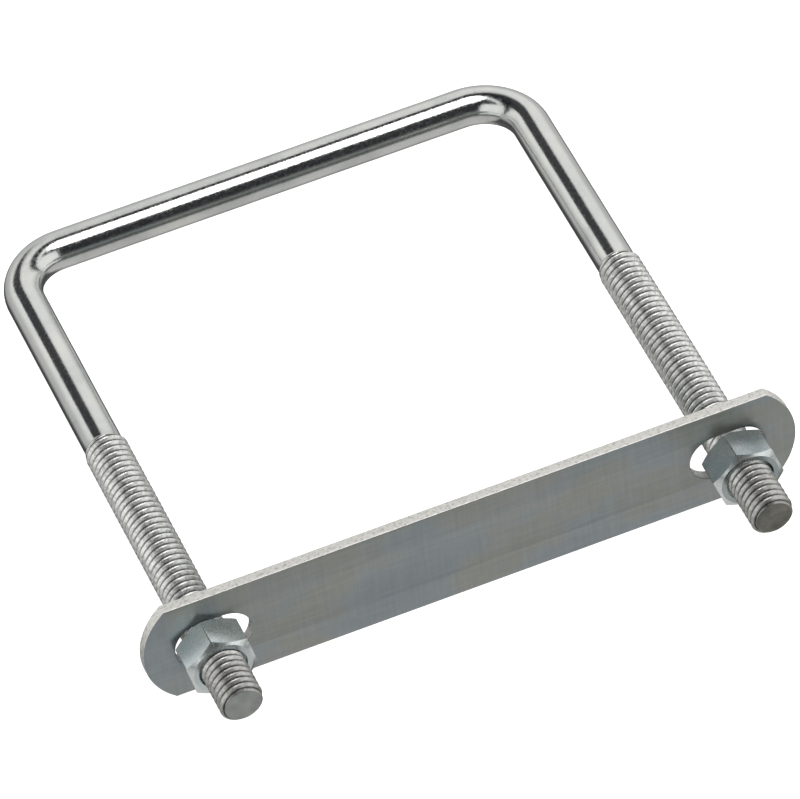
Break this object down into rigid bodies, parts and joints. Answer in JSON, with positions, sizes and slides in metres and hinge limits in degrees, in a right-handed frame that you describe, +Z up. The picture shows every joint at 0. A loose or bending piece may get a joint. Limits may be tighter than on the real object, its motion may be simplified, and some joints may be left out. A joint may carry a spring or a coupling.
{
  "type": "u-bolt",
  "caption": "Square U-bolt of bent round rod with two threaded legs, a slotted clamp plate across them and a hex nut on each leg.",
  "frame": {"origin": "centre of the bounding box on its lowest face, which is the plate's lower long edge as the U lies flat", "axes": "+X along the crossbar and the plate, +Y from the nuts towards the crossbar along the legs, +Z up, square to the plane of the U"},
  "size_m": [0.1406, 0.1406, 0.0246],
  "materials": {
    "rod_zinc": "bright zinc plating on drawn rod and rolled thread",
    "plate_zinc": "satin bluish zinc plating on rolled strip, sheared edges brighter",
    "nut_zinc": "semi-bright bluish zinc plating"
  },
  "bodies": {
    "rod": {"bent_rod": "rod_zinc"},
    "plate": {"clamp_plate": "plate_zinc"},
    "nut_left": {"left_nut": "nut_zinc"},
    "nut_right": {"right_nut": "nut_zinc"}
  },
  "joints": [
    {"name": "clamp_travel", "type": "slide", "parent": "rod", "child": "plate", "axis": [0, 1, 0], "range_m": [-0.00953, 0.05715]},
    {"name": "left_nut_turn", "type": "hinge", "parent": "plate", "child": "nut_left", "pos_m": [-0.0565, -0.05425, 0.0123], "axis": [0, 1, 0], "range_deg": [-2200, 13000]},
    {"name": "right_nut_turn", "type": "hinge", "parent": "plate", "child": "nut_right", "pos_m": [0.0565, -0.05495, 0.0123], "axis": [0, 1, 0], "range_deg": [-2200, 13000]}
  ],
  "couplings": [
    {"joint": "left_nut_turn", "follows": "clamp_travel", "rad_per_m": 3957.9},
    {"joint": "right_nut_turn", "follows": "clamp_travel", "rad_per_m": 3957.9}
  ]
}
